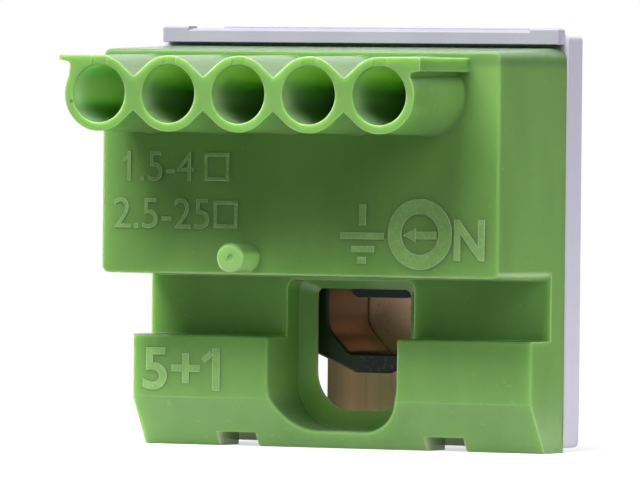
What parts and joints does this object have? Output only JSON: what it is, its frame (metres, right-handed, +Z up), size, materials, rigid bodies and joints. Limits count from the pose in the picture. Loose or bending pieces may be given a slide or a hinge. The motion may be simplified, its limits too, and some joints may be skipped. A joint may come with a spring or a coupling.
{
  "type": "terminal block",
  "caption": "Snap-together terminal block with a row of round push-in wire tubes above and a rising-cage screw clamp behind a U-shaped mouth below.",
  "frame": {"origin": "centre of the flat rear mounting face", "axes": "+X along the row of wire tubes, +Y out of the rear mounting face, +Z up, towards the ridge"},
  "size_m": [0.0352, 0.0321, 0.033],
  "materials": {
    "green_plastic": "glossy, slightly translucent green polyamide",
    "grey_plastic": "satin grey plastic",
    "busbar_metal": "rolled copper alloy, lightly tarnished",
    "cage_metal": "drawn copper alloy profile, dark at its sheared front",
    "screw_steel": "zinc-plated steel",
    "spring_steel": "stainless spring steel"
  },
  "bodies": {
    "block": {"housing": "green_plastic", "rear_cover": "grey_plastic", "busbar": "busbar_metal", "spring_clip_1": "spring_steel", "spring_clip_2": "spring_steel", "spring_clip_3": "spring_steel", "spring_clip_4": "spring_steel", "spring_clip_5": "spring_steel"},
    "cage": {"clamp_cage": "cage_metal"},
    "screw": {"clamp_screw": "screw_steel"}
  },
  "joints": [
    {"name": "screw_turn", "type": "hinge", "parent": "block", "child": "screw", "pos_m": [0.0001, -0.00635, 0], "axis": [0, 0, 1], "range_deg": [-1224, 1584]},
    {"name": "cage_lift", "type": "slide", "parent": "block", "child": "cage", "axis": [0, 0, 1], "range_m": [-0.0044, 0.0034]}
  ],
  "couplings": [
    {"joint": "screw_turn", "follows": "cage_lift", "rad_per_m": -6283.2}
  ]
}
